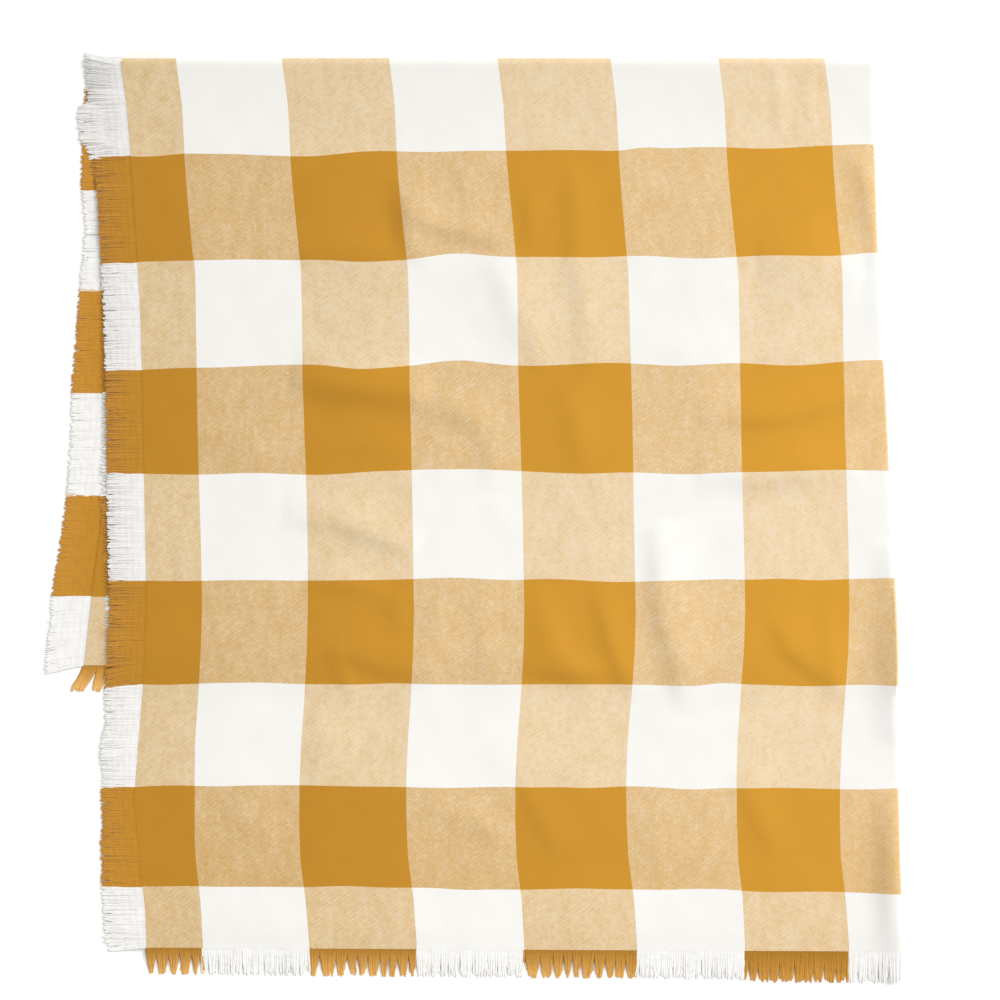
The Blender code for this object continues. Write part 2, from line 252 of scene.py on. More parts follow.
def table_value(table, below, column):
    """The values of one column at distances below the top fold, on straight lines between the rows."""
    return np.interp(below, [row[0] for row in table], [row[column] for row in table])


def eased(share):
    """0 to 1 with a soft start and a soft end."""
    share = np.clip(share, 0.0, 1.0)
    return share * share * (3.0 - 2.0 * share)


def face_height(below):
    """Height of the front leaf's face: low at the hem, up over the back leaf, swelling to the top fold."""
    climb = eased((SLOPE_FOOT - below) / (SLOPE_FOOT - SLOPE_HEAD))
    swell = np.clip((SWELL_FOOT - below) / (SWELL_FOOT - TOP_FOLD_RADIUS), 0.0, 1.0) ** 2
    droop = HEM_DROOP * eased((below - FRONT_HEM + HEM_DROOP_REACH) / HEM_DROOP_REACH)
    return OVER_TWO + (OVER_FOUR - OVER_TWO) * climb + (2 * TOP_FOLD_RADIUS - OVER_FOUR) * swell - droop


def crease_height(x, below, creases):
    """How far the creases lift the front leaf."""
    lift = np.zeros(np.broadcast(x, below).shape)
    for height, broad, steep, crest in creases:
        corners = np.array(crest) * (1.0, -1.0)
        steps = np.diff(corners, axis=0)
        lengths = np.hypot(*steps.T)
        done = np.concatenate([[0.0], np.cumsum(lengths)[:-1]]) / lengths.sum()
        nearest = np.full(lift.shape, np.inf)
        flank = np.full(lift.shape, broad)
        share = np.zeros(lift.shape)
        for corner, step, length, start in zip(corners, steps, lengths, done):
            from_x, from_y = x - corner[0], -below - corner[1]
            along = np.clip((from_x * step[0] + from_y * step[1]) / length**2, 0.0, 1.0)
            away = np.hypot(from_x - along * step[0], from_y - along * step[1])
            closer = away < nearest
            above = step[0] * from_y - step[1] * from_x > 0.0
            nearest = np.where(closer, away, nearest)
            flank = np.where(closer, np.where(above, broad, steep), flank)
            share = np.where(closer, start + along * length / lengths.sum(), share)
        lift += height * np.sin(np.pi * share) ** CREST_RUN_OUT * np.exp(-((nearest / flank) ** 2))
    return lift


def slack(x, y, size, seed):
    """A gentle unevenness, -1 to 1: seven waves of about this size in metres, each with its own direction."""
    draw = np.random.default_rng(seed)
    waves = 0.0
    for _ in range(7):
        turn = draw.uniform(0.0, 2.0 * np.pi)
        pace = 2.0 * np.pi / size * draw.uniform(0.55, 1.45)
        waves = waves + np.sin(pace * (x * np.cos(turn) + y * np.sin(turn)) + draw.uniform(0.0, 6.28))
    return waves / 4.0


def spread(first, last, count):
    """Evenly spaced values from the first to just before the last."""
    return list(np.linspace(first, last, count, endpoint=False))


def turn_rows(front_hem, back_hem, panels):
    """Rows of a leaf pair, up the front leaf, round the top fold and down the back leaf, as columns: leaf,
    distance below the top fold, angle of the top fold, length of cloth from the front hem."""
    lower, slope, upper, swell, fold, back = panels
    front = spread(front_hem, SLOPE_FOOT, lower) + spread(SLOPE_FOOT, SLOPE_HEAD, slope)
    front += spread(SLOPE_HEAD, SWELL_FOOT, upper) + spread(SWELL_FOOT, TOP_FOLD_RADIUS, swell)
    rows = [(FRONT, below, 90.0, front_hem - below) for below in front]
    top = front_hem - TOP_FOLD_RADIUS
    arc = np.pi * TOP_FOLD_RADIUS
    for angle in spread(90.0, -90.0, fold):
        rows.append((FOLD, TOP_FOLD_RADIUS, angle, top + arc * (90.0 - angle) / 180.0))
    down = spread(TOP_FOLD_RADIUS, back_hem, back) + [back_hem]
    rows += [(BACK, below, -90.0, top + arc + below - TOP_FOLD_RADIUS) for below in down]
    return np.array(rows).T[:, :, None]


def turn_point(rows, depth):
    """Distances below the top fold, and heights, of points this deep inside the outer leaves' face."""
    leaf, below, angle, _ = rows
    turned = np.radians(angle)
    reach = TOP_FOLD_RADIUS - depth
    down = np.where(leaf == FOLD, TOP_FOLD_RADIUS - reach * np.cos(turned), below)
    height = np.where(leaf == FRONT, face_height(below) - depth, depth)
    return down, np.where(leaf == FOLD, TOP_FOLD_RADIUS + reach * np.sin(turned), height)


def outer_span(leaf, below):
    """Where the open edge and the side fold's centre lie on an outer leaf."""
    on_front = [table_value(FRONT_SECTIONS, below, side) for side in (1, 2)]
    on_back = [table_value(BACK_SECTIONS, below, side) for side in (1, 2)]
    left, right = np.where(leaf == BACK, on_back, on_front)
    return left, right - SIDE_FOLD_RADIUS


def column_number(x, below, leaf):
    """Which column of the check a point lies in, with its place in that column as the fraction."""
    shift = outer_span(leaf, below)[0] - outer_span(FRONT, below)[0]
    sway = table_value(COLUMN_SWAY, below, 1) + COLUMN_WAVER * slack(x, below, COLUMN_WAVER_SIZE, 3)
    return np.interp(x - shift - sway, COLUMN_BORDERS, range(len(COLUMN_BORDERS)))


def row_number(x, below, rows):
    """Which row of the check a point lies in, with its place in that row as the fraction."""
    leaf, _, angle, _ = rows
    across = (x - ROW_BORDERS_LEFT_X) / (ROW_BORDERS_RIGHT_X - ROW_BORDERS_LEFT_X)
    numbers = [row[0] for row in ROW_BORDERS]
    left = np.interp(below, [row[1] for row in ROW_BORDERS], numbers)
    right = np.interp(below, [row[2] for row in ROW_BORDERS], numbers)
    straight = left + (right - left) * across + ROW_WAVER * slack(x, below, ROW_WAVER_SIZE, 4)
    on_front = straight
    for down, bow_x, row, reach, rows_across in ROW_BOWS:
        bow = np.exp(-(((x - bow_x) / reach) ** 2) - ((straight - row) / rows_across) ** 2)
        on_front = on_front - down / ROW_PITCH * bow
    on_back = np.interp(below, [row[1] for row in BACK_ROW_BORDERS], [row[0] for row in BACK_ROW_BORDERS])
    at_fold = ROW_BEHIND_FOLD + ROW_ROUND_FOLD * (angle + 90.0) / 180.0
    return np.where(leaf == FRONT, on_front, np.where(leaf == BACK, on_back, at_fold))


def placed(name, data):
    """An object of this mesh, lamp or camera, put in the scene."""
    thing = bpy.data.objects.new(name, data)
    bpy.context.scene.collection.objects.link(thing)
    return thing


def made_plain(piece, modifier):
    """The piece's mesh with the modifier's work in it and the modifier gone."""
    plain = bpy.data.meshes.new_from_object(piece.evaluated_get(bpy.context.evaluated_depsgraph_get()))
    plain.name = piece.name
    piece.modifiers.remove(modifier)
    piece.data = plain
    plain.shade_smooth()
    return plain


def cloth_sheet(name, points, weave, checks, wall):
    """A sheet of cloth from its grid of points, with each point's place on the loom and in the check."""
    along, across = points.shape[:2]
    number = np.arange(along * across).reshape(along, across)
    corners = [number[:-1, :-1], number[:-1, 1:], number[1:, 1:], number[1:, :-1]]
    faces = np.stack(corners, axis=-1).reshape(-1, 4)
    mesh = bpy.data.meshes.new(name)
    mesh.from_pydata(points.reshape(-1, 3).tolist(), [], faces.tolist())
    uv = mesh.uv_layers.new(name="weave")
    uv.data.foreach_set("uv", weave.reshape(-1, 2)[faces.reshape(-1)].astype(np.float32).reshape(-1))
    place = mesh.attributes.new("checks", "FLOAT_VECTOR", "POINT")
    place.data.foreach_set("vector", checks.reshape(-1).astype(np.float32))
    piece = placed(name, mesh)
    thick = piece.modifiers.new("wall", "SOLIDIFY")
    thick.thickness = wall
    thick.offset = -1.0
    thick.use_even_offset = True
    made_plain(piece, thick).set_sharp_from_angle(angle=np.radians(SHARP_TURN))
    return piece


def linear(code):
    """A colour from its sRGB hex code."""
    parts = [int(code[place : place + 2], 16) / 255.0 for place in (1, 3, 5)]
    return (*(part / 12.92 if part <= 0.04045 else ((part + 0.055) / 1.055) ** 2.4 for part in parts), 1.0)


def node(tree, kind, inputs=(), **settings):
    """Adds a node with its settings, and gives its outputs. An input is a value or another node's output."""
    made = tree.nodes.new(kind)
    for setting, value in settings.items():
        setattr(made, setting, value)
    for socket, value in dict(inputs).items():
        if isinstance(value, bpy.types.NodeSocket):
            tree.links.new(value, made.inputs[socket])
        else:
            made.inputs[socket].default_value = value
    return made.outputs


def bare_material(name):
    """A new material and its empty node tree."""
    material = bpy.data.materials.new(name)
    material.use_nodes = True
    material.node_tree.nodes.clear()
    return material, material.node_tree


# Yarn spacing of the twill. Warp runs from hem to hem and weft from side to side, two over and two under,
# which sets the diagonal lines 3.3 mm apart.
WARP_SPACING = 0.00152
WEFT_SPACING = 0.00100
# Half of the cloth's width, which is one leaf's, with its middle.
LEAF_WIDTH = 0.671
LEAF_MIDDLE = 0.335

# How fine the cloth's unevenness is, as features in a metre: yarns stray over 18 mm, brushing hides the weave
# in patches of 11 mm, spun yarn runs thick and thin over 11 mm, flecks of nap are 5 mm across, the haze of
# raised fibre is 2.4 mm, and nap lies one way or another in patches of 36 mm.
STRAYING, BRUSHING, SLUBS, FLECKS, HAZE, NAP = 55.0, 95.0, 95.0, 210.0, 420.0, 28.0
# How far the yarns stray, in metres, and how much the slubs are drawn out along the warp.
STRAYED = 0.0032
SLUBS_DRAWN_OUT = (1.0, 0.45, 1.0)
# How far the twill's lines, the haze, the flecks and the slubs change how much of the face the warp covers.
COVER_LEAST, COVER_BY_TWILL, COVER_BY_HAZE, COVER_BY_FLECKS, COVER_BY_SLUBS = 0.092, 0.095, 0.14, 0.22, 0.22

# Painted shade at the hem and the edges, as more coloured yarn: from and to in metres of cloth, then how much
# more at each.
HEM_SHADE_IN_MIX = {1: 0.04, 2: 0.13, 3: 0.07, 4: 0.01}
EDGE_SHADE_IN_MIX = {1: 0.25, 2: 0.31, 3: 0.0, 4: 0.035}

# The coloured yarn's tint is painted darker at the open edge and lighter this far across, at the side fold:
# painted shade and painted light for light falling off towards the left. Near the front hem it is painted
# darker still.
PAINTED_SHADE_TINT = (0.84, 0.81, 0.74)
PAINTED_LIGHT_TINT = (1.12, 1.14, 1.24)
PAINTED_LIGHT_REACH = 0.67
PAINTED_SHADE_NEAR_HEM = {1: 0.13, 2: 0.20, 3: 0.20, 4: 0.0}

# From all plain to all coloured yarn. Where the two cross, light between them warms the plain one.
YARN_MIX = (
    (0.00, "#eae8e3"),
    (0.22, "#e3d6bc"),
    (0.42, "#e0c9a4"),
    (0.58, "#d7b786"),
    (0.80, "#cba057"),
    (1.00, "#c68d28"),
)


def brushed_twill():
    """Acrylic twill with a brushed face: matt, with a soft haze of raised fibre over the twill's lines, which
    show where coloured and plain yarn cross and hardly at all where both are alike."""
    material, tree = bare_material("brushed_acrylic_twill")

    # Where a point lies on the loom, with the yarns straying a little, and which yarns cross there.
    loom = node(tree, "ShaderNodeUVMap", uv_map="weave")["UV"]
    uneven = node(tree, "ShaderNodeTexNoise", {"Vector": loom, "Scale": STRAYING, "Detail": 2.0})["Color"]
    drift = node(tree, "ShaderNodeVectorMath", {0: uneven, 1: (-0.5, -0.5, -0.5)}, operation="ADD")[0]
    strayed = (STRAYED, STRAYED, 0.0)
    drift = node(tree, "ShaderNodeVectorMath", {0: drift, 1: strayed}, operation="MULTIPLY")[0]
    loom = node(tree, "ShaderNodeVectorMath", {0: loom, 1: drift}, operation="ADD")[0]
    pace = (1.0 / WARP_SPACING, 1.0 / WEFT_SPACING, 0.0)
    yarns = node(tree, "ShaderNodeVectorMath", {0: loom, 1: pace}, operation="MULTIPLY")[0]
    counted = node(tree, "ShaderNodeVectorMath", {0: yarns}, operation="FLOOR")[0]
    smooth = node(tree, "ShaderNodeSeparateXYZ", {0: yarns})
    whole = node(tree, "ShaderNodeSeparateXYZ", {0: counted})

    # Two over, two under, one yarn further on with each weft: the warp lies on top for half of every four.
    step = node(tree, "ShaderNodeMath", {0: whole[0], 1: whole[1]}, operation="SUBTRACT")[0]
    step = node(tree, "ShaderNodeMath", {0: step, 1: 4.0}, operation="FLOORED_MODULO")[0]
    floats = node(tree, "ShaderNodeMath", {0: step, 1: 1.5}, operation="LESS_THAN")[0]
    line = smooth[0]
    for operation, by in (("SUBTRACT", smooth[1]), ("MULTIPLY", 2.0 * np.pi / 4.0), ("SINE", 0.0)):
        line = node(tree, "ShaderNodeMath", {0: line, 1: by}, operation=operation)[0]
    line = node(tree, "ShaderNodeMath", {0: line, 1: 0.5, 2: 0.5}, operation="MULTIPLY_ADD")[0]
    twill = node(tree, "ShaderNodeMix", {0: 0.75, 2: floats, 3: line})[0]
    # Brushing hides the lines in some places and leaves them in others.
    brushed = node(tree, "ShaderNodeTexNoise", {"Vector": loom, "Scale": BRUSHING, "Detail": 2.0})[0]
    brushed = node(tree, "ShaderNodeMapRange", {0: brushed, 1: 0.40, 2: 0.62})[0]
    twill = node(tree, "ShaderNodeMix", {0: brushed, 2: 0.5, 3: twill})[0]

    # How much of the face the warp covers: a little under half, more on its own floats, and uneven where spun
    # yarn runs thick and thin.
    haze = node(tree, "ShaderNodeTexNoise", {"Vector": loom, "Scale": HAZE, "Detail": 3.0})[0]
    flecks = node(tree, "ShaderNodeTexNoise", {"Vector": loom, "Scale": FLECKS, "Detail": 1.0})[0]
    slubs = node(tree, "ShaderNodeVectorMath", {0: loom, 1: SLUBS_DRAWN_OUT}, operation="MULTIPLY")[0]
    slubs = node(tree, "ShaderNodeTexNoise", {"Vector": slubs, "Scale": SLUBS, "Detail": 2.0})[0]
    cover = COVER_LEAST
    for change, by in (
        (twill, COVER_BY_TWILL),
        (haze, COVER_BY_HAZE),
        (flecks, COVER_BY_FLECKS),
        (slubs, COVER_BY_SLUBS),
    ):
        cover = node(tree, "ShaderNodeMath", {0: change, 1: by, 2: cover}, operation="MULTIPLY_ADD")[0]

    # Coloured columns of warp and coloured rows of weft, and how much of the face is coloured yarn.
    checks = node(tree, "ShaderNodeAttribute", attribute_name="checks")["Vector"]
    checks = node(tree, "ShaderNodeSeparateXYZ", {0: checks})
    column = node(tree, "ShaderNodeMath", {0: checks[0], 1: 2.0}, operation="FLOORED_MODULO")[0]
    warp = node(tree, "ShaderNodeMath", {0: column, 1: 1.0}, operation="LESS_THAN")[0]
    row = node(tree, "ShaderNodeMath", {0: checks[1], 1: 2.0}, operation="FLOORED_MODULO")[0]
    weft = node(tree, "ShaderNodeMath", {0: row, 1: 1.0}, operation="GREATER_THAN")[0]
    coloured = node(tree, "ShaderNodeMix", {0: cover, 2: weft, 3: warp})[0]

    # Towards the hem and the edges more of the coloured yarn is mixed in, most where both yarns show alike:
    # painted shade, which darkens and deepens the tone there.
    on_cloth = node(tree, "ShaderNodeSeparateXYZ", {0: loom})
    worn = node(tree, "ShaderNodeMapRange", {0: on_cloth[1], **HEM_SHADE_IN_MIX})[0]
    from_middle = node(tree, "ShaderNodeMath", {0: on_cloth[0], 1: LEAF_MIDDLE}, operation="SUBTRACT")[0]
    from_middle = node(tree, "ShaderNodeMath", {0: from_middle}, operation="ABSOLUTE")[0]
    painted_edge_shade = node(tree, "ShaderNodeMapRange", {0: from_middle, **EDGE_SHADE_IN_MIX})[0]
    worn = node(tree, "ShaderNodeMath", {0: worn, 1: painted_edge_shade}, operation="ADD")[0]
    crossed = node(tree, "ShaderNodeMath", {0: 1.0, 1: coloured}, operation="SUBTRACT")[0]
    for factor in (coloured, 4.0):
        crossed = node(tree, "ShaderNodeMath", {0: crossed, 1: factor}, operation="MULTIPLY")[0]
    coloured = node(tree, "ShaderNodeMath", {0: worn, 1: crossed, 2: coloured}, operation="MULTIPLY_ADD")[0]
    ramp = tree.nodes.new("ShaderNodeValToRGB")
    stops = ramp.color_ramp.elements
    for place, code in YARN_MIX[1:-1]:
        stops.new(place)
    for stop, (place, code) in zip(stops, YARN_MIX):
        stop.position = place
        stop.color = linear(code)
    tree.links.new(coloured, ramp.inputs[0])

    # Dye takes a little unevenly from yarn to yarn, and the nap lies in patches.
    patches = node(tree, "ShaderNodeTexNoise", {"Vector": loom, "Scale": NAP, "Detail": 4.0})[0]
    shade = node(tree, "ShaderNodeMapRange", {0: patches, 1: 0.3, 2: 0.7, 3: 0.98, 4: 1.01})[0]
    fibre = node(tree, "ShaderNodeMapRange", {0: haze, 1: 0.3, 2: 0.7, 3: 0.985, 4: 1.01})[0]
    shade = node(tree, "ShaderNodeMath", {0: shade, 1: fibre}, operation="MULTIPLY")[0]
    tint = node(tree, "ShaderNodeVectorMath", {0: ramp.outputs[0], "Scale": shade}, operation="SCALE")[0]
    # Painted shade and painted light on the coloured yarn: darker at the open edge and near the hem, lighter
    # at the fold.
    painted_light_share = node(tree, "ShaderNodeMapRange", {0: on_cloth[0], 1: 0.0, 2: PAINTED_LIGHT_REACH})[0]
    painted_hem_shade = node(tree, "ShaderNodeMapRange", {0: on_cloth[1], **PAINTED_SHADE_NEAR_HEM})[0]
    painted_light_share = node(tree, "ShaderNodeMath", {0: painted_light_share, 1: painted_hem_shade}, operation="SUBTRACT")[0]
    painted_tint = {0: painted_light_share, 6: (*PAINTED_SHADE_TINT, 1.0), 7: (*PAINTED_LIGHT_TINT, 1.0)}
    painted_tint = node(tree, "ShaderNodeMix", painted_tint, data_type="RGBA")[2]
    painted_tint = node(tree, "ShaderNodeMix", {0: coloured, 6: (1.0, 1.0, 1.0, 1.0), 7: painted_tint}, data_type="RGBA")[2]
    tint = node(tree, "ShaderNodeVectorMath", {0: tint, 1: painted_tint}, operation="MULTIPLY")[0]

    height = node(tree, "ShaderNodeMath", {0: haze, 1: 0.8, 2: twill}, operation="MULTIPLY_ADD")[0]
    relief = node(tree, "ShaderNodeBump", {"Strength": 0.22, "Distance": 0.0004, "Height": height})[0]
    finish = {
        "Base Color": tint,
        "Roughness": 0.92,
        "IOR": 1.49,
        "Specular IOR Level": 0.25,
        "Sheen Weight": 0.22,
        "Sheen Roughness": 0.45,
        "Normal": relief,
    }
    cloth = node(tree, "ShaderNodeBsdfPrincipled", finish)[0]
    node(tree, "ShaderNodeOutputMaterial", {"Surface": cloth})
    return material


outer_rows = turn_rows(FRONT_HEM, BACK_HEM, OUTER_PANELS)
across = [(share, 0.0, 0.0) for share in spread(0.0, 1.0, OUTER_PANELS_ACROSS)]
across += [(1.0, angle, 0.0) for angle in spread(0.0, 180.0, SIDE_FOLD_PANELS)]
across += [(1.0, 180.0, lip) for lip in LIP_SHARES]
share, side_angle, lip = np.array(across).T[:, None, :]


def outer_points(rows, share, side_angle, lip):
    """The outer leaves' face: share of the width, angle of the side fold and share of its lip."""
    leaf, below, _, _ = rows
    left, fold = outer_span(leaf, below)
    turned = np.radians(side_angle)
    depth = SIDE_FOLD_RADIUS * (1.0 - np.cos(turned))
    x = left + (fold - left) * share + SIDE_FOLD_RADIUS * np.sin(turned) - SIDE_FOLD_LIP * lip
    down, height = turn_point(rows, depth)
    on_face = 1.0 - side_angle / 180.0
    y_down = down * (1.0 + HEM_TILT * share)
    loose = eased((below - UNEVEN_FROM) / UNEVEN_OVER) * (leaf == FRONT) * on_face
    uneven = SWELLS * slack(x, below, SWELL_SIZE, 1) + RIPPLES * slack(x, below, RIPPLE_SIZE, 2)
    height = height + crease_height(x, below, CREASES) * on_face * (leaf == FRONT) + loose * uneven
    return np.stack(np.broadcast_arrays(x, TOP_Y - y_down, np.maximum(height, 0.0)), axis=-1)


def on_loom_and_check(points, rows, across):
    """Each point's place on the loom, in metres of cloth across and from the front hem, and in the check."""
    weave = np.stack(np.broadcast_arrays(across, rows[3]), axis=-1)
    x, below = points[..., 0], TOP_Y - points[..., 1]
    column, row = column_number(x, below, rows[0]), row_number(x, below, rows)
    return weave, np.stack([column, row, np.zeros(row.shape)], axis=-1)


points = outer_points(outer_rows, share, side_angle, lip)
round_fold = np.pi * SIDE_FOLD_RADIUS * side_angle / 180.0
weave, checks = on_loom_and_check(points, outer_rows, LEAF_WIDTH * share + round_fold + SIDE_FOLD_LIP * lip)
twill = brushed_twill()
outer = cloth_sheet("scarf_outer_leaves", points, weave, checks, OUTER_WALL)
outer.data.materials.append(twill)
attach(outer, "root")
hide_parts("outer_leaves")

# ------------------------------------------------------------------------------------------------------------
# The hidden leaves: the second and third quarter of the same square, between the outer ones. They show only
# as layered edges, and where their fringes stand out beyond the front leaf's.

SECOND_HEM = 0.7880
THIRD_HEM = 0.5400
HIDDEN_EDGES = (
    # below, second_leaf, third_leaf
    (0.000, 0.0020, 0.0020),
    (0.025, -0.0060, 0.0000),
    (0.083, -0.0070, 0.0080),
    (0.120, 0.0000, 0.0140),
    (0.400, 0.0080, 0.0300),
    (0.540, 0.0130, 0.0560),
    (0.704, 0.0180, 0.0560),
    (0.802, 0.0170, 0.0560),
)
HIDDEN_PANELS = (16, 8, 44, 6, 10, 32)
HIDDEN_PANELS_ACROSS = 56
HIDDEN_WALL = 0.0017


def hidden_span(leaf, below):
    """Where the hidden leaf next to this outer leaf begins and, clear of the side fold's lip, ends."""
    left, fold = outer_span(leaf, below)
    second, third = (table_value(HIDDEN_EDGES, below, column) for column in (1, 2))
    return left + np.where(leaf == BACK, third, second), fold - SIDE_FOLD_LIP - GAP


def hidden_points(rows, share):
    """The hidden leaves' face, one leaf inside the outer ones."""
    leaf, below, _, _ = rows
    left, right = hidden_span(leaf, below)
    down, height = turn_point(rows, LEAF)
    x = left + (right - left) * share
    return np.stack(np.broadcast_arrays(x, TOP_Y - down * (1.0 + HEM_TILT * share), height), axis=-1)


hidden_rows = turn_rows(SECOND_HEM, THIRD_HEM, HIDDEN_PANELS)
share = np.linspace(0.0, 1.0, HIDDEN_PANELS_ACROSS + 1)[None, :]
points = hidden_points(hidden_rows, share)
weave, checks = on_loom_and_check(points, hidden_rows, LEAF_WIDTH * share)
hidden = cloth_sheet("scarf_hidden_leaves", points, weave, checks, HIDDEN_WALL)
hidden.data.materials.append(twill)
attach(hidden, "root")
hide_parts("hidden_leaves")

# ------------------------------------------------------------------------------------------------------------
# The fringes: the cloth's own yarns, left unwoven past its edges, softened by washing and gathered a little
# in loose locks. Weft yarns stand out at the sides and warp yarns at the hems, each in its own colour.

FRINGE_COLOURS = {"plain": "#eeece8", "coloured": "#c08625", "frayed": "#cfa768"}


def fringe_yarn():
    """Spun acrylic yarn: matt and slightly hairy, darker between yarns, with the faint slant of its twist,
    and with painted shade at its root and painted light at its tip.
    """
    material, tree = bare_material("spun_acrylic_fringe")
    names = ("dyed", "frayed", "own_shade", "root_painted_shade", "tip_painted_light", "along", "round_yarn")
    fact = {name: node(tree, "ShaderNodeAttribute", attribute_name=name)["Fac"] for name in names}

    # Each yarn's own colour, paler towards the tip where it has frayed.
    dyed = node(tree, "ShaderNodeMath", {0: fact["dyed"], 1: 0.5}, operation="GREATER_THAN")[0]
    frayed = node(tree, "ShaderNodeMath", {0: fact["frayed"], 1: fact["along"]}, operation="MULTIPLY")[0]
    colour = linear(FRINGE_COLOURS["plain"])
    for how_much, next_colour in ((dyed, "coloured"), (frayed, "frayed")):
        mixed = {0: how_much, 6: colour, 7: linear(FRINGE_COLOURS[next_colour])}
        colour = node(tree, "ShaderNodeMix", mixed, data_type="RGBA")[2]

    # Its shade, with painted shade at the root that turns to painted light at the tip.
    shade = node(tree, "ShaderNodeMapRange", {0: fact["own_shade"], 3: 0.965, 4: 1.03})[0]
    worn = node(tree, "ShaderNodeMix", {0: fact["along"], 2: fact["root_painted_shade"], 3: fact["tip_painted_light"]})[0]
    # Painted shade in short streaks across neighbouring yarns, standing in for the shading of the weave's
    # crimp: 12 mm wide along the edge, seven to a yarn.
    place = node(tree, "ShaderNodeSeparateXYZ", {0: node(tree, "ShaderNodeTexCoord")["Object"]})
    beside = node(tree, "ShaderNodeMath", {0: place[0], 1: place[1]}, operation="ADD")[0]
    beside = node(tree, "ShaderNodeMath", {0: beside, 1: 80.0}, operation="MULTIPLY")[0]
    crimp_painted_shade = node(tree, "ShaderNodeMath", {0: fact["along"], 1: 7.0}, operation="MULTIPLY")[0]
    crimp_painted_shade = node(tree, "ShaderNodeCombineXYZ", {0: crimp_painted_shade, 1: beside})[0]
    crimp_painted_shade = node(tree, "ShaderNodeTexNoise", {"Vector": crimp_painted_shade, "Scale": 1.0, "Detail": 1.0})[0]
    crimp_painted_shade = node(tree, "ShaderNodeMapRange", {0: crimp_painted_shade, 1: 0.35, 2: 0.65, 3: 0.95, 4: 1.015})[0]
    for factor in (worn, crimp_painted_shade):
        shade = node(tree, "ShaderNodeMath", {0: shade, 1: factor}, operation="MULTIPLY")[0]
    tint = node(tree, "ShaderNodeVectorMath", {0: colour, "Scale": shade}, operation="SCALE")[0]

    # The ridges of the ply slant round the yarn, 6 mm apart, which is coarser than real so that they show.
    ply = {0: fact["along"], 1: 13.0, 2: fact["round_yarn"]}
    ply = node(tree, "ShaderNodeMath", ply, operation="MULTIPLY_ADD")[0]
    ply = node(tree, "ShaderNodeMath", {0: ply, 1: 1.0}, operation="PINGPONG")[0]
    relief = node(tree, "ShaderNodeBump", {"Strength": 0.3, "Distance": 0.0002, "Height": ply})[0]
    finish = {
        "Base Color": tint,
        "Roughness": 0.85,
        "IOR": 1.49,
        "Specular IOR Level": 0.25,
        "Sheen Weight": 0.15,
        "Sheen Roughness": 0.5,
        "Normal": relief,
    }
    spun = node(tree, "ShaderNodeBsdfPrincipled", finish)[0]
    node(tree, "ShaderNodeOutputMaterial", {"Surface": spun})
    return material


# Yarns are drawn with these points along them and these sides, and washing has flattened them to this share
# of their width. They narrow by the next share towards the tip.
YARN_POINTS = 7
YARN_SIDES = 4
YARN_FLATNESS = 0.45
YARN_TAPER = 0.45
# The middle of a yarn lies at least this far over the floor.
YARN_LOWEST = 0.0007

# What each yarn draws for itself, from and to. Each fringe gives its own shortest share of the full length.
OWN_DRAWS = (
    ("own_shade", 0.0, 1.0),
    ("own_lean", -1.0, 1.0),
    ("own_length", "Shortest", 1.0),
    ("own_place", 0.0, 100.0),
    ("own_lift", -1.0, 1.0),
    ("own_stray", 0.0, 1.0),
)


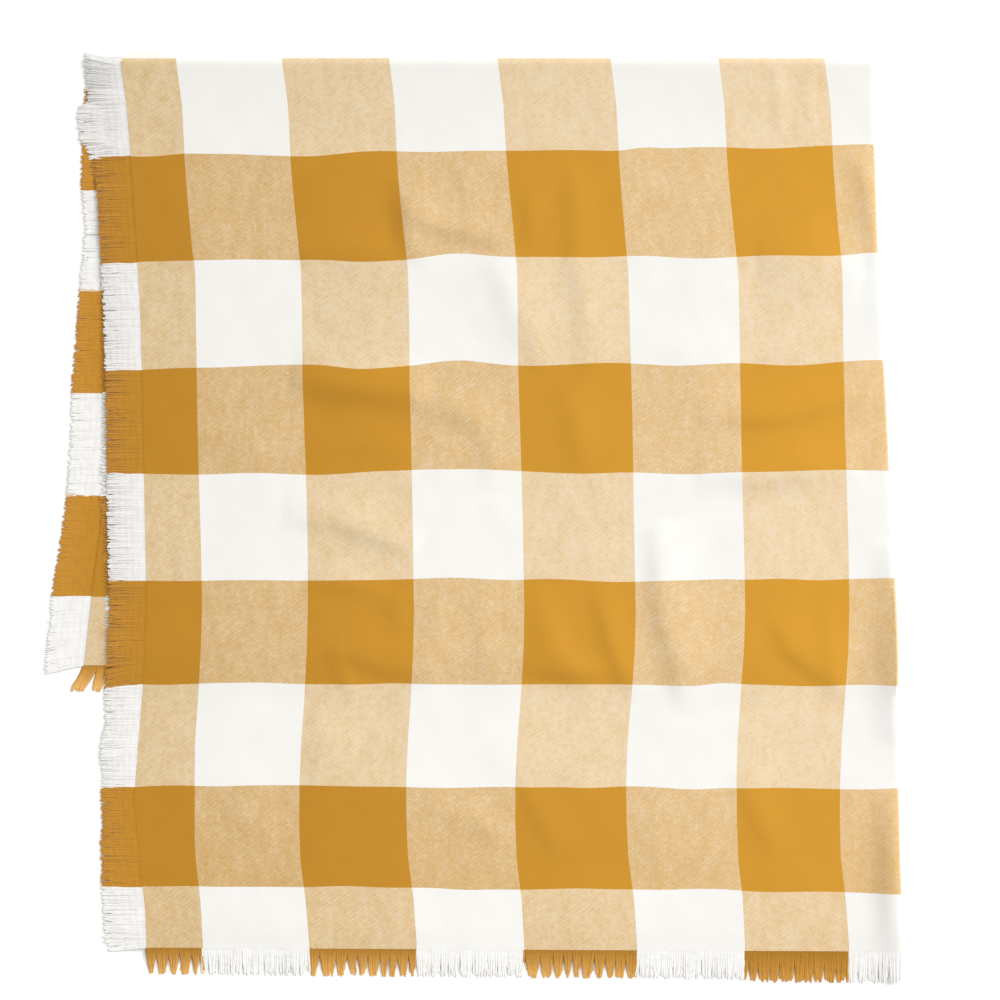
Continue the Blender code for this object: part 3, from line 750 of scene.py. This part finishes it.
def fringe_tree():
    """Yarns along an edge: each starts at the edge, reaches outwards, sinks, curls and leans to its lock."""
    tree = bpy.data.node_groups.new("fringe_yarns", "GeometryNodeTree")
    for name, kind in (
        ("Edge", "NodeSocketGeometry"),
        ("Yarns", "NodeSocketInt"),
        ("Locks", "NodeSocketInt"),
        ("Thickness", "NodeSocketFloat"),
        ("Lean", "NodeSocketFloat"),
        ("Curl", "NodeSocketFloat"),
        ("Shortest", "NodeSocketFloat"),
        ("Seed", "NodeSocketInt"),
        ("Material", "NodeSocketMaterial"),
    ):
        tree.interface.new_socket(name, in_out="INPUT", socket_type=kind)
    tree.interface.new_socket("Fringe", in_out="OUTPUT", socket_type="NodeSocketGeometry")
    given = node(tree, "NodeGroupInput")
    kinds = dict.fromkeys(("outward", "edge_way"), "FLOAT_VECTOR")
    kinds |= dict.fromkeys(("reach", "drop", "swing", "gathered", "pull", "along"), "FLOAT")
    kinds |= {name: "FLOAT" for name, _, _ in OWN_DRAWS}
    fact = {
        name: node(tree, "GeometryNodeInputNamedAttribute", {"Name": name}, data_type=kind)[0]
        for name, kind in kinds.items()
    }
    here = node(tree, "GeometryNodeInputPosition")[0]
    share = node(tree, "GeometryNodeSplineParameter")[0]
    along = fact["along"]

    # Roots, and how far along the edge the middle of each one's lock lies. Locks vary in width.
    edge = node(tree, "GeometryNodeMeshToCurve", {0: given["Edge"]})[0]
    length = node(tree, "GeometryNodeCurveLength", {0: edge})[0]
    roots = node(tree, "GeometryNodeCurveToPoints", {"Curve": edge, "Count": given["Yarns"]})
    wander = node(tree, "ShaderNodeTexNoise", {"Vector": here, "Scale": 30.0})[0]
    wander = node(tree, "ShaderNodeMath", {0: wander, 1: 2.2}, operation="MULTIPLY")[0]
    place = node(tree, "GeometryNodeInputIndex")[0]
    for operation, by in (("DIVIDE", given["Yarns"]), ("MULTIPLY", given["Locks"]), ("ADD", wander)):
        place = node(tree, "ShaderNodeMath", {0: place, 1: by}, operation=operation)[0]
    pull = node(tree, "ShaderNodeMath", {0: place}, operation="FLOOR")[0]
    to_middle = (("ADD", 0.5), ("SUBTRACT", place), ("MULTIPLY", length), ("DIVIDE", given["Locks"]))
    for operation, by in to_middle:
        pull = node(tree, "ShaderNodeMath", {0: pull, 1: by}, operation=operation)[0]

    # What each root keeps, with its yarn's own draws.
    kept = {"pull": pull, "edge_way": roots["Tangent"]}
    for number, (name, lowest, highest) in enumerate(OWN_DRAWS, 1):
        seed = node(tree, "FunctionNodeIntegerMath", {0: given["Seed"], 1: number}, operation="ADD")[0]
        lowest = given[lowest] if isinstance(lowest, str) else lowest
        kept[name] = node(tree, "FunctionNodeRandomValue", {2: lowest, 3: highest, "Seed": seed})[1]
    points = roots["Points"]
    for name, value in kept.items():
        stored = {"Geometry": points, "Name": name, "Value": value}
        points = node(tree, "GeometryNodeStoreNamedAttribute", stored, data_type=kinds[name])[0]

    # One straight yarn, laid outwards from each root.
    straight = node(tree, "GeometryNodeCurvePrimitiveLine", {"End": (1.0, 0.0, 0.0)})[0]
    straight = node(tree, "GeometryNodeResampleCurve", {"Curve": straight, "Count": YARN_POINTS})[0]
    stored = {"Geometry": straight, "Name": "along", "Value": share}
    straight = node(tree, "GeometryNodeStoreNamedAttribute", stored, data_type="FLOAT")[0]
    outward = node(tree, "FunctionNodeAlignRotationToVector", {"Vector": fact["outward"]}, axis="X")[0]
    reach = {0: fact["reach"], 1: fact["own_length"]}
    reach = node(tree, "ShaderNodeMath", reach, operation="MULTIPLY")[0]
    size = node(tree, "ShaderNodeCombineXYZ", {0: reach, 1: 1.0, 2: 1.0})[0]
    laid = {"Points": points, "Instance": straight, "Rotation": outward, "Scale": size}
    yarns = node(tree, "GeometryNodeInstanceOnPoints", laid)[0]
    yarns = node(tree, "GeometryNodeRealizeInstances", {0: yarns})[0]

    # Every yarn curls in its own way, a few stray ones much more.
    curl = node(tree, "ShaderNodeMath", {0: along, 1: 1.7}, operation="MULTIPLY")[0]
    curl = node(tree, "ShaderNodeCombineXYZ", {0: fact["own_place"], 1: curl})[0]
    curl = node(tree, "ShaderNodeTexNoise", {"Vector": curl, "Scale": 1.6, "Detail": 2.0})["Color"]
    curl = node(tree, "ShaderNodeSeparateXYZ", {0: curl})[0]
    curl = node(tree, "ShaderNodeMath", {0: curl, 1: 0.5}, operation="SUBTRACT")[0]
    stray = node(tree, "ShaderNodeMath", {0: fact["own_stray"], 1: 5.0}, operation="POWER")[0]
    stray = node(tree, "ShaderNodeMath", {0: stray, 1: 2.5, 2: 0.5}, operation="MULTIPLY_ADD")[0]

    # Sideways: the curl, a lean, the pull of the lock and the fringe's swing, each growing towards the tip.
    aside = 0.0
    for factors, growth in (
        ((curl, given["Curl"], stray), 1.0),
        ((fact["own_lean"], given["Lean"]), 1.0),
        ((fact["pull"], fact["gathered"]), 1.4),
        ((fact["swing"],), 1.3),
    ):
        moved = node(tree, "ShaderNodeMath", {0: along, 1: growth}, operation="POWER")[0]
        for factor in factors:
            moved = node(tree, "ShaderNodeMath", {0: moved, 1: factor}, operation="MULTIPLY")[0]
        aside = node(tree, "ShaderNodeMath", {0: aside, 1: moved}, operation="ADD")[0]
    aside = {0: fact["edge_way"], "Scale": aside}
    aside = node(tree, "ShaderNodeVectorMath", aside, operation="SCALE")[0]

    # Downwards: a sag, with each yarn a little above or below its neighbours, and none in the floor.
    sag = node(tree, "ShaderNodeMath", {0: along, 1: 1.5}, operation="POWER")[0]
    sag = node(tree, "ShaderNodeMath", {0: sag, 1: fact["drop"]}, operation="MULTIPLY")[0]
    lift = node(tree, "ShaderNodeMath", {0: along, 1: 0.00015, 2: 0.0001}, operation="MULTIPLY_ADD")[0]
    lift = node(tree, "ShaderNodeMath", {0: lift, 1: fact["own_lift"]}, operation="MULTIPLY")[0]
    lift = node(tree, "ShaderNodeMath", {0: lift, 1: sag}, operation="SUBTRACT")[0]
    moved = node(tree, "ShaderNodeCombineXYZ", {2: lift})[0]
    for step in (aside, here):
        moved = node(tree, "ShaderNodeVectorMath", {0: moved, 1: step}, operation="ADD")[0]
    moved = node(tree, "ShaderNodeSeparateXYZ", {0: moved})
    height = node(tree, "ShaderNodeMath", {0: moved[2], 1: YARN_LOWEST}, operation="MAXIMUM")[0]
    moved = node(tree, "ShaderNodeCombineXYZ", {0: moved[0], 1: moved[1], 2: height})[0]
    yarns = node(tree, "GeometryNodeSetPosition", {"Geometry": yarns, "Position": moved})[0]

    # The yarns lie flat side down. The thick ones are the ones with the lighter shade.
    yarns = node(tree, "GeometryNodeSetCurveNormal", {"Curve": yarns}, mode="Z_UP")[0]
    profile = node(tree, "GeometryNodeCurvePrimitiveCircle", {"Resolution": YARN_SIDES, "Radius": 0.5})[0]
    flattened = {"Geometry": profile, "Scale": (1.0, YARN_FLATNESS, 1.0)}
    profile = node(tree, "GeometryNodeTransform", flattened)[0]
    turned = node(tree, "ShaderNodeMath", {0: share, 1: 2.0}, operation="MULTIPLY")[0]
    turned = node(tree, "ShaderNodeMath", {0: turned, 1: 1.0}, operation="PINGPONG")[0]
    stored = {"Geometry": profile, "Name": "round_yarn", "Value": turned}
    profile = node(tree, "GeometryNodeStoreNamedAttribute", stored, data_type="FLOAT")[0]
    taper = node(tree, "ShaderNodeMath", {0: along, 1: 3.0}, operation="POWER")[0]
    taper = node(tree, "ShaderNodeMath", {0: taper, 1: -YARN_TAPER, 2: 1.0}, operation="MULTIPLY_ADD")[0]
    thickness = {0: fact["own_shade"], 1: 0.3, 2: 0.85}
    thickness = node(tree, "ShaderNodeMath", thickness, operation="MULTIPLY_ADD")[0]
    for factor in (taper, given["Thickness"]):
        thickness = node(tree, "ShaderNodeMath", {0: thickness, 1: factor}, operation="MULTIPLY")[0]
    built = {"Curve": yarns, "Profile Curve": profile, "Scale": thickness, "Fill Caps": True}
    built = node(tree, "GeometryNodeCurveToMesh", built)[0]
    built = node(tree, "GeometryNodeRealizeInstances", {0: built})[0]
    built = node(tree, "GeometryNodeSetMaterial", {"Geometry": built, "Material": given["Material"]})[0]
    node(tree, "NodeGroupOutput", {"Fringe": built})
    return tree


def fringe(name, replaced, line, outward, facts, sizes):
    """A fringe along a line of points: the edge's facts go on its points, and the yarns grow from it."""
    mesh = bpy.data.meshes.new(name)
    mesh.from_pydata(line.tolist(), [(end, end + 1) for end in range(len(line) - 1)], [])
    for fact, value in facts.items():
        values = np.broadcast_to(value, len(line)).astype(np.float32)
        mesh.attributes.new(fact, "FLOAT", "POINT").data.foreach_set("value", values)
    ways = np.broadcast_to(outward, line.shape).astype(np.float32)
    mesh.attributes.new("outward", "FLOAT_VECTOR", "POINT").data.foreach_set("vector", ways.reshape(-1))
    grown = placed(name, mesh)
    growth = grown.modifiers.new("yarns", "NODES")
    growth.node_group = yarn_tree
    socket = {item.name: item.identifier for item in yarn_tree.interface.items_tree if item.in_out == "INPUT"}
    for label, value in {**sizes, "Material": yarn}.items():
        growth[socket[label]] = value
    made_plain(grown, growth)
    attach(grown, "root")
    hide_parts(replaced)
    return grown


# How far the yarns reach beyond the edge, by leaf: they were cut by hand and have worn unevenly.
FRONT_REACH = (
    # below, reach
    (0.000, 0.0330),
    (0.006, 0.0365),
    (0.016, 0.0370),
    (0.040, 0.0370),
    (0.055, 0.0355),
    (0.400, 0.0370),
    (0.575, 0.0370),
    (0.600, 0.0345),
    (0.615, 0.0370),
    (0.632, 0.0370),
    (0.645, 0.0330),
    (0.690, 0.0335),
    (0.707, 0.0370),
    (0.729, 0.0375),
    (0.745, 0.0405),
    (0.802, 0.0415),
)
SECOND_REACH = (
    # below, reach
    (0.000, 0.0300),
    (0.038, 0.0310),
    (0.046, 0.0430),
    (0.074, 0.0430),
    (0.080, 0.0350),
    (0.800, 0.0360),
)
THIRD_REACH = (
    # below, reach
    (0.000, 0.0320),
    (0.540, 0.0370),
)
BACK_REACH = (
    # below, reach
    (0.000, 0.0330),
    (0.050, 0.0370),
    (0.090, 0.0395),
    (0.115, 0.0395),
    (0.150, 0.0365),
    (0.240, 0.0360),
    (0.290, 0.0385),
    (0.310, 0.0385),
    (0.340, 0.0370),
    (0.450, 0.0375),
    (0.480, 0.0390),
    (0.547, 0.0380),
)
HEM_REACH = (
    # x, reach
    (-0.300, 0.0255),
    (-0.150, 0.0270),
    (0.235, 0.0280),
    (0.270, 0.0305),
    (0.390, 0.0305),
)

# How far the yarns' tips swing along the edge, upwards or to the right: they fan out at corners.
FRONT_SWING = (
    # below, swing
    (0.000, 0.0095),
    (0.006, 0.0085),
    (0.040, 0.0000),
    (0.530, 0.0000),
    (0.558, -0.0090),
    (0.566, -0.0020),
    (0.575, 0.0000),
    (0.780, 0.0000),
    (0.802, -0.0040),
)
SECOND_SWING = ((0.006, 0.0060), (0.050, 0.0000))
THIRD_SWING = ((0.000, 0.0000),)
BACK_SWING = ((0.497, 0.0000), (0.547, -0.0080))
BACK_HEM_SWING = ((-0.352, -0.0150), (-0.320, 0.0000))
HEM_SWING = ((0.000, 0.0000),)

# How far the tips lie below the roots: most where they fall from the height of the top fold.
FRONT_DROP = (
    # below, drop
    (0.000, 0.0112),
    (0.022, 0.0102),
    (0.034, 0.0076),
    (0.140, 0.0048),
    (0.500, 0.0048),
    (0.585, 0.0030),
)
SECOND_DROP = (
    # below, drop
    (0.000, 0.0090),
    (0.022, 0.0084),
    (0.034, 0.0066),
    (0.140, 0.0034),
    (0.500, 0.0034),
    (0.585, 0.0012),
)
THIRD_DROP = ((0.000, 0.0012),)
BACK_DROP = ((0.000, 0.0005),)

# Reach, swing and drop of each leaf's side yarns.
FRONT_HANG = (FRONT_REACH, FRONT_SWING, FRONT_DROP)
SECOND_HANG = (SECOND_REACH, SECOND_SWING, SECOND_DROP)
THIRD_HANG = (THIRD_REACH, THIRD_SWING, THIRD_DROP)
BACK_HANG = (BACK_REACH, BACK_SWING, BACK_DROP)

# Roots lie this far inside the edge and this far under the face.
ROOT_INSIDE = 0.0015
ROOT_DEPTH = 0.00058
# An edge is a line of so many points, and the front's side fringes run on round the top fold to this angle.
EDGE_POINTS = 240
FOLD_POINTS = 12
FOLD_LAST_ANGLE = 15.0
YARNS_PER_LOCK = 18
SIDE_YARN = {"Thickness": 0.0021, "Lean": 0.0010, "Curl": 0.005, "Shortest": 0.90}
HEM_YARN = {"Thickness": 0.0024, "Lean": 0.0010, "Curl": 0.005, "Shortest": 0.82}
# At the hem's corner the side yarns are worn shorter by this share, over this length of edge.
CORNER_WEAR = 0.12
CORNER_WEAR_LENGTH = 0.009

# How much the yarns gather into their locks, their painted shade at the root and painted light at the tip,
# and how
# pale they have frayed: the hems' coloured ones most, and less so towards the right, where they have kept.
SIDE_LOOKS = (
    # fact, plain, coloured
    ("gathered", 0.10, 0.10),
    ("root_painted_shade", 0.99, 0.96),
    ("tip_painted_light", 1.04, 1.08),
    ("frayed", 0.00, 0.08),
)
HEM_LOOKS = (
    # fact, plain, coloured, more_where_kept, more_on_the_back_leaf
    ("gathered", 0.28, 0.72, -0.42, 0.00),
    ("root_painted_shade", 0.99, 0.70, 0.00, 0.12),
    ("tip_painted_light", 1.03, 1.30, -0.15, 0.10),
    ("frayed", 0.00, 0.55, -0.40, 0.20),
)
KEPT_FROM_X = 0.02
KEPT_OVER = 0.30

yarn = fringe_yarn()
yarn_tree = fringe_tree()


def outer_edge(rows, share):
    """Points of an outer leaf's face at this share of its width."""
    return outer_points(rows, share, 0.0, 0.0)


def edge_line(leaf, below, angle, share, leaf_face):
    """A line of roots on a leaf's edge, just under its face, with the rows it lies in."""
    leaf, below, angle, share = np.broadcast_arrays(leaf, below, angle, share)
    place = np.stack([leaf, below, angle, below])[:, :, None]
    line = leaf_face(place, share[:, None])[:, 0]
    line[:, 2] -= ROOT_DEPTH * np.sin(np.radians(angle))
    return line, place


for name, leaf, hem, leaf_face, count, seed, hang in (
    ("front_side_fringe", FRONT, FRONT_HEM, outer_edge, 1900, 11, FRONT_HANG),
    ("second_side_fringe", FRONT, SECOND_HEM, hidden_points, 1500, 12, SECOND_HANG),
    ("third_side_fringe", BACK, THIRD_HEM, hidden_points, 600, 13, THIRD_HANG),
    ("back_side_fringe", BACK, BACK_HEM, outer_edge, 1250, 14, BACK_HANG),
):
    leaves = np.full(EDGE_POINTS, leaf)
    below = np.linspace(hem, TOP_FOLD_RADIUS, EDGE_POINTS)
    angles = np.full(EDGE_POINTS, 90.0 * leaf)
    if leaf == FRONT:
        turned = np.linspace(90.0, FOLD_LAST_ANGLE, FOLD_POINTS)
        leaves = np.append(leaves, np.full(FOLD_POINTS, FOLD))
        below = np.append(below, TOP_FOLD_RADIUS * (1.0 - np.cos(np.radians(turned))))
        angles = np.append(angles, turned)
    line, place = edge_line(leaves, below, angles, 0.0, leaf_face)
    dyed = row_number(line[:, :1], TOP_Y - line[:, 1:2], place)[:, 0] % 2.0 > 1.0
    line[:, 0] += ROOT_INSIDE
    reach, swing, drop = (table_value(table, below, 1) for table in hang)
    worn = CORNER_WEAR * (leaf == FRONT) * (1.0 - eased((hem - below) / CORNER_WEAR_LENGTH))
    facts = {"reach": reach * (1.0 - worn), "swing": swing, "drop": drop, "dyed": dyed}
    for fact, plain, coloured in SIDE_LOOKS:
        facts[fact] = np.where(dyed, coloured, plain)
    sizes = {**SIDE_YARN, "Yarns": count, "Locks": count // YARNS_PER_LOCK, "Seed": seed}
    fringe(name + "_yarns", name, line, (-1.0, 0.0, 0.0), facts, sizes)

for name, leaf, hem, leaf_face, drop, count, seed, swing in (
    ("front_hem_fringe", FRONT, FRONT_HEM, outer_edge, 0.0024, 1250, 21, HEM_SWING),
    ("second_hem_fringe", FRONT, SECOND_HEM, hidden_points, 0.0008, 1000, 22, HEM_SWING),
    ("back_hem_fringe", BACK, BACK_HEM, outer_edge, 0.0004, 1000, 23, BACK_HEM_SWING),
):
    line, place = edge_line(leaf, hem, 90.0 * leaf, np.linspace(0.0, 1.0, EDGE_POINTS), leaf_face)
    dyed = column_number(line[:, :1], TOP_Y - line[:, 1:2], place[0])[:, 0] % 2.0 < 1.0
    line[:, 1] += ROOT_INSIDE
    reach, swing = (table_value(table, line[:, 0], 1) for table in (HEM_REACH, swing))
    facts = {"reach": reach, "swing": swing, "drop": drop, "dyed": dyed}
    kept = eased((line[:, 0] - KEPT_FROM_X) / KEPT_OVER)
    for fact, plain, coloured, where_kept, on_back in HEM_LOOKS:
        facts[fact] = np.where(dyed, coloured + where_kept * kept + on_back * (leaf == BACK), plain)
    sizes = {**HEM_YARN, "Yarns": count, "Locks": count // YARNS_PER_LOCK, "Seed": seed}
    fringe(name + "_yarns", name, line, (0.0, -1.0, 0.0), facts, sizes)

# ------------------------------------------------------------------------------------------------------------
# The studio: a plain pale floor, soft light from all round with a broad lamp from the upper right, and the
# camera straight above.

FLOOR_CORNERS = ((-6.0, -6.0, 0.0), (6.0, -6.0, 0.0), (6.0, 6.0, 0.0), (-6.0, 6.0, 0.0))
PAPER_WHITE = "#fefefe"
ROOM_LIGHT = 0.617
LAMPS = (
    # name, place, size, power
    ("broad_lamp", (5.00, 3.40, 3.70), 4.4, 441.0),
    ("overhead_softbox", (-0.05, -0.49, 0.82), 0.6, 1.35),
)
CAMERA_PLACE = (0.02475, 0.0167, 2.508)

floor_mesh = bpy.data.meshes.new("floor")
floor_mesh.from_pydata(FLOOR_CORNERS, [], [(0, 1, 2, 3)])
floor = placed("floor", floor_mesh)
# White background paper: matt, so that it shows no lamp.
paper = bpy.data.materials.new("white_studio_paper")
paper.use_nodes = True
paper.node_tree.nodes["Principled BSDF"].inputs["Base Color"].default_value = linear(PAPER_WHITE)
paper.node_tree.nodes["Principled BSDF"].inputs["Roughness"].default_value = 0.9
floor_mesh.materials.append(paper)

room = bpy.data.worlds.new("studio")
room.use_nodes = True
room.node_tree.nodes["Background"].inputs["Color"].default_value = linear("#ffffff")
room.node_tree.nodes["Background"].inputs["Strength"].default_value = ROOM_LIGHT
bpy.context.scene.world = room

for name, place, size, power in LAMPS:
    lamp_data = bpy.data.lights.new(name, "AREA")
    lamp_data.shape = "DISK"
    lamp_data.size = size
    lamp_data.energy = power
    lamp = placed(name, lamp_data)
    lamp.location = place
    lamp.rotation_euler = Vector(place).to_track_quat("Z", "Y").to_euler()
    lamp.visible_camera = False

camera_data = bpy.data.cameras.new("camera")
camera_data.lens = 100.0
camera_data.sensor_width = 36.0
camera_data.clip_end = 20.0
camera = placed("camera", camera_data)
camera.location = CAMERA_PLACE
bpy.context.scene.camera = camera
bpy.context.scene.view_settings.view_transform = "Standard"
